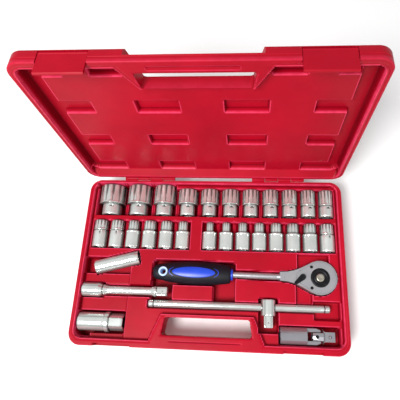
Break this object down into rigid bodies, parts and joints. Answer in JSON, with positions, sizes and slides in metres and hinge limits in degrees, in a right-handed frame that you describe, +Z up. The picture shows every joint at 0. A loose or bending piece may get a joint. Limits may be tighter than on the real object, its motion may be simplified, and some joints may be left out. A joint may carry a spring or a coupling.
{
  "type": "socket wrench set in case",
  "caption": "Hinged red moulded carry case, open, with hex sockets, a reversible ratchet, extension bar, sliding T handle, universal joint and spark plug sockets.",
  "frame": {"origin": "centre of the case's underside", "axes": "+X along the case, +Y from the handle to the hinge, +Z up"},
  "size_m": [0.39, 0.2949, 0.2938],
  "materials": {
    "case_plastic": "satin red moulded plastic",
    "polished_chrome": "mirror chrome plate",
    "satin_chrome": "satin chrome plate",
    "dark_steel": "black oxide steel",
    "pin_steel": "bright steel",
    "grip_rubber": "fine-grained black",
    "blue_inlay": "satin royal blue",
    "eyelet_plastic": "pale blue",
    "insert_rubber": "matt black"
  },
  "bodies": {
    "base": {"base_shell": "case_plastic", "hinge_pin_left": "pin_steel", "hinge_pin_right": "pin_steel"},
    "lid": {"lid_shell": "case_plastic"},
    "left_latch": {"latch_left": "case_plastic"},
    "right_latch": {"latch_right": "case_plastic"},
    "ratchet": {"ratchet_body": "satin_chrome", "ratchet_cover": "satin_chrome", "cover_screw_a": "dark_steel", "cover_screw_b": "dark_steel", "ratchet_grip": "grip_rubber", "grip_inlay": "blue_inlay", "grip_ring": "blue_inlay", "hang_eyelet": "eyelet_plastic"},
    "lever": {"reverse_lever": "dark_steel"},
    "pawl_piece": {"pawl": "dark_steel"},
    "drive": {"drive_gear": "dark_steel"},
    "button": {"release_button": "satin_chrome"},
    "tee": {"tee_bar": "polished_chrome"},
    "sliding_head": {"tee_head": "polished_chrome"},
    "joint_base": {"joint_socket_yoke": "polished_chrome"},
    "cross": {"joint_cross": "dark_steel", "joint_pin": "dark_steel"},
    "joint_tip": {"joint_drive_yoke": "polished_chrome"},
    "extension": {"extension_bar": "polished_chrome"},
    "plug_small": {"plug_socket_small": "polished_chrome", "plug_socket_small_insert": "insert_rubber"},
    "plug_large": {"plug_socket_large": "polished_chrome", "plug_socket_large_insert": "insert_rubber"},
    "extension_ball_piece": {"extension_ball": "pin_steel"},
    "tee_bar_ball_left_piece": {"tee_bar_ball_left": "pin_steel"},
    "tee_bar_ball_right_piece": {"tee_bar_ball_right": "pin_steel"},
    "tee_head_ball_piece": {"tee_head_ball": "pin_steel"},
    "joint_ball_piece": {"joint_ball": "pin_steel"},
    "socket_32mm_tool": {"socket_32mm": "polished_chrome"},
    "socket_30mm_tool": {"socket_30mm": "polished_chrome"},
    "socket_27mm_tool": {"socket_27mm": "polished_chrome"},
    "socket_24mm_tool": {"socket_24mm": "polished_chrome"},
    "socket_22mm_tool": {"socket_22mm": "polished_chrome"},
    "socket_21mm_tool": {"socket_21mm": "polished_chrome"},
    "socket_20mm_tool": {"socket_20mm": "polished_chrome"},
    "socket_19mm_tool": {"socket_19mm": "polished_chrome"},
    "socket_18mm_tool": {"socket_18mm": "polished_chrome"},
    "socket_17mm_tool": {"socket_17mm": "polished_chrome"},
    "socket_16mm_tool": {"socket_16mm": "polished_chrome"},
    "socket_5_8in_tool": {"socket_5_8in": "polished_chrome"},
    "socket_19_32in_tool": {"socket_19_32in": "polished_chrome"},
    "socket_1_2in_tool": {"socket_1_2in": "polished_chrome"},
    "socket_9_16in_tool": {"socket_9_16in": "polished_chrome"},
    "socket_17_32in_tool": {"socket_17_32in": "polished_chrome"},
    "socket_7_16in_tool": {"socket_7_16in": "polished_chrome"},
    "socket_8mm_tool": {"socket_8mm": "polished_chrome"},
    "socket_9mm_tool": {"socket_9mm": "polished_chrome"},
    "socket_10mm_tool": {"socket_10mm": "polished_chrome"},
    "socket_11mm_tool": {"socket_11mm": "polished_chrome"},
    "socket_12mm_tool": {"socket_12mm": "polished_chrome"},
    "socket_13mm_tool": {"socket_13mm": "polished_chrome"},
    "socket_14mm_tool": {"socket_14mm": "polished_chrome"},
    "socket_15mm_tool": {"socket_15mm": "polished_chrome"}
  },
  "joints": [
    {"name": "lid_hinge", "type": "hinge", "parent": "base", "child": "lid", "pos_m": [0, 0.1256, 0.04615], "axis": [-1, 0, 0], "range_deg": [-96.2, 0]},
    {"name": "left_latch_hinge", "type": "hinge", "parent": "lid", "child": "left_latch", "pos_m": [-0.132, 0.1658, 0.28983], "axis": [-1, 0, 0], "range_deg": [0, 100]},
    {"name": "right_latch_hinge", "type": "hinge", "parent": "lid", "child": "right_latch", "pos_m": [0.132, 0.1658, 0.28983], "axis": [-1, 0, 0], "range_deg": [0, 100]},
    {"name": "ratchet_lift", "type": "slide", "parent": "base", "child": "ratchet", "axis": [0, 0, 1], "range_m": [0, 0.08]},
    {"name": "lever_turn", "type": "hinge", "parent": "ratchet", "child": "lever", "pos_m": [0.1342, -0.02039, 0.034], "axis": [0, 0, -1], "range_deg": [0, 83.2]},
    {"name": "pawl_rock", "type": "hinge", "parent": "ratchet", "child": "pawl_piece", "pos_m": [0.1409, -0.02048, 0.034], "axis": [0, 0, -1], "range_deg": [0, 4.5]},
    {"name": "drive_turn", "type": "hinge", "parent": "ratchet", "child": "drive", "pos_m": [0.1587, -0.0207, 0.034], "axis": [0, 0, 1], "continuous": true},
    {"name": "button_press", "type": "slide", "parent": "drive", "child": "button", "axis": [0, 0, -1], "range_m": [0, 0.0025], "stiffness_N_per_m": 400, "springref_m": -0.002},
    {"name": "tee_lift", "type": "slide", "parent": "base", "child": "tee", "axis": [0, 0, 1], "range_m": [0, 0.08]},
    {"name": "tee_head_slide", "type": "slide", "parent": "tee", "child": "sliding_head", "axis": [1, 0, 0], "range_m": [-0.0025, 0.0025]},
    {"name": "joint_lift", "type": "slide", "parent": "base", "child": "joint_base", "axis": [0, 0, 1], "range_m": [0, 0.08]},
    {"name": "joint_pitch", "type": "hinge", "parent": "joint_base", "child": "cross", "pos_m": [0.1509, -0.0995, 0.034], "axis": [0, -1, 0], "range_deg": [0, 45]},
    {"name": "joint_yaw", "type": "hinge", "parent": "cross", "child": "joint_tip", "pos_m": [0.1509, -0.0995, 0.034], "axis": [0, 0, 1], "range_deg": [-5, 5]},
    {"name": "extension_lift", "type": "slide", "parent": "base", "child": "extension", "axis": [0, 0, 1], "range_m": [0, 0.08]},
    {"name": "plug_small_lift", "type": "slide", "parent": "base", "child": "plug_small", "axis": [0, 0, 1], "range_m": [0, 0.08]},
    {"name": "plug_large_lift", "type": "slide", "parent": "base", "child": "plug_large", "axis": [0, 0, 1], "range_m": [0, 0.08]},
    {"name": "extension_ball_press", "type": "slide", "parent": "extension", "child": "extension_ball_piece", "axis": [0, 0, -1], "range_m": [0, 0.0007], "stiffness_N_per_m": 200, "springref_m": -0.001},
    {"name": "tee_bar_ball_left_press", "type": "slide", "parent": "tee", "child": "tee_bar_ball_left_piece", "axis": [0, 0, -1], "range_m": [0, 0.0007], "stiffness_N_per_m": 200, "springref_m": -0.001},
    {"name": "tee_bar_ball_right_press", "type": "slide", "parent": "tee", "child": "tee_bar_ball_right_piece", "axis": [0, 0, -1], "range_m": [0, 0.0007], "stiffness_N_per_m": 200, "springref_m": -0.001},
    {"name": "tee_head_ball_press", "type": "slide", "parent": "sliding_head", "child": "tee_head_ball_piece", "axis": [0, 0, -1], "range_m": [0, 0.0007], "stiffness_N_per_m": 200, "springref_m": -0.001},
    {"name": "joint_ball_press", "type": "slide", "parent": "joint_tip", "child": "joint_ball_piece", "axis": [0, 0, -1], "range_m": [0, 0.0007], "stiffness_N_per_m": 200, "springref_m": -0.001},
    {"name": "socket_32mm_lift", "type": "slide", "parent": "base", "child": "socket_32mm_tool", "axis": [0, 0, 1], "range_m": [0, 0.08]},
    {"name": "socket_30mm_lift", "type": "slide", "parent": "base", "child": "socket_30mm_tool", "axis": [0, 0, 1], "range_m": [0, 0.08]},
    {"name": "socket_27mm_lift", "type": "slide", "parent": "base", "child": "socket_27mm_tool", "axis": [0, 0, 1], "range_m": [0, 0.08]},
    {"name": "socket_24mm_lift", "type": "slide", "parent": "base", "child": "socket_24mm_tool", "axis": [0, 0, 1], "range_m": [0, 0.08]},
    {"name": "socket_22mm_lift", "type": "slide", "parent": "base", "child": "socket_22mm_tool", "axis": [0, 0, 1], "range_m": [0, 0.08]},
    {"name": "socket_21mm_lift", "type": "slide", "parent": "base", "child": "socket_21mm_tool", "axis": [0, 0, 1], "range_m": [0, 0.08]},
    {"name": "socket_20mm_lift", "type": "slide", "parent": "base", "child": "socket_20mm_tool", "axis": [0, 0, 1], "range_m": [0, 0.08]},
    {"name": "socket_19mm_lift", "type": "slide", "parent": "base", "child": "socket_19mm_tool", "axis": [0, 0, 1], "range_m": [0, 0.08]},
    {"name": "socket_18mm_lift", "type": "slide", "parent": "base", "child": "socket_18mm_tool", "axis": [0, 0, 1], "range_m": [0, 0.08]},
    {"name": "socket_17mm_lift", "type": "slide", "parent": "base", "child": "socket_17mm_tool", "axis": [0, 0, 1], "range_m": [0, 0.08]},
    {"name": "socket_16mm_lift", "type": "slide", "parent": "base", "child": "socket_16mm_tool", "axis": [0, 0, 1], "range_m": [0, 0.08]},
    {"name": "socket_5_8in_lift", "type": "slide", "parent": "base", "child": "socket_5_8in_tool", "axis": [0, 0, 1], "range_m": [0, 0.08]},
    {"name": "socket_19_32in_lift", "type": "slide", "parent": "base", "child": "socket_19_32in_tool", "axis": [0, 0, 1], "range_m": [0, 0.08]},
    {"name": "socket_1_2in_lift", "type": "slide", "parent": "base", "child": "socket_1_2in_tool", "axis": [0, 0, 1], "range_m": [0, 0.08]},
    {"name": "socket_9_16in_lift", "type": "slide", "parent": "base", "child": "socket_9_16in_tool", "axis": [0, 0, 1], "range_m": [0, 0.08]},
    {"name": "socket_17_32in_lift", "type": "slide", "parent": "base", "child": "socket_17_32in_tool", "axis": [0, 0, 1], "range_m": [0, 0.08]},
    {"name": "socket_7_16in_lift", "type": "slide", "parent": "base", "child": "socket_7_16in_tool", "axis": [0, 0, 1], "range_m": [0, 0.08]},
    {"name": "socket_8mm_lift", "type": "slide", "parent": "base", "child": "socket_8mm_tool", "axis": [0, 0, 1], "range_m": [0, 0.08]},
    {"name": "socket_9mm_lift", "type": "slide", "parent": "base", "child": "socket_9mm_tool", "axis": [0, 0, 1], "range_m": [0, 0.08]},
    {"name": "socket_10mm_lift", "type": "slide", "parent": "base", "child": "socket_10mm_tool", "axis": [0, 0, 1], "range_m": [0, 0.08]},
    {"name": "socket_11mm_lift", "type": "slide", "parent": "base", "child": "socket_11mm_tool", "axis": [0, 0, 1], "range_m": [0, 0.08]},
    {"name": "socket_12mm_lift", "type": "slide", "parent": "base", "child": "socket_12mm_tool", "axis": [0, 0, 1], "range_m": [0, 0.08]},
    {"name": "socket_13mm_lift", "type": "slide", "parent": "base", "child": "socket_13mm_tool", "axis": [0, 0, 1], "range_m": [0, 0.08]},
    {"name": "socket_14mm_lift", "type": "slide", "parent": "base", "child": "socket_14mm_tool", "axis": [0, 0, 1], "range_m": [0, 0.08]},
    {"name": "socket_15mm_lift", "type": "slide", "parent": "base", "child": "socket_15mm_tool", "axis": [0, 0, 1], "range_m": [0, 0.08]}
  ],
  "couplings": [
    {"joint": "pawl_rock", "follows": "lever_turn", "ratio": 0.05}
  ]
}
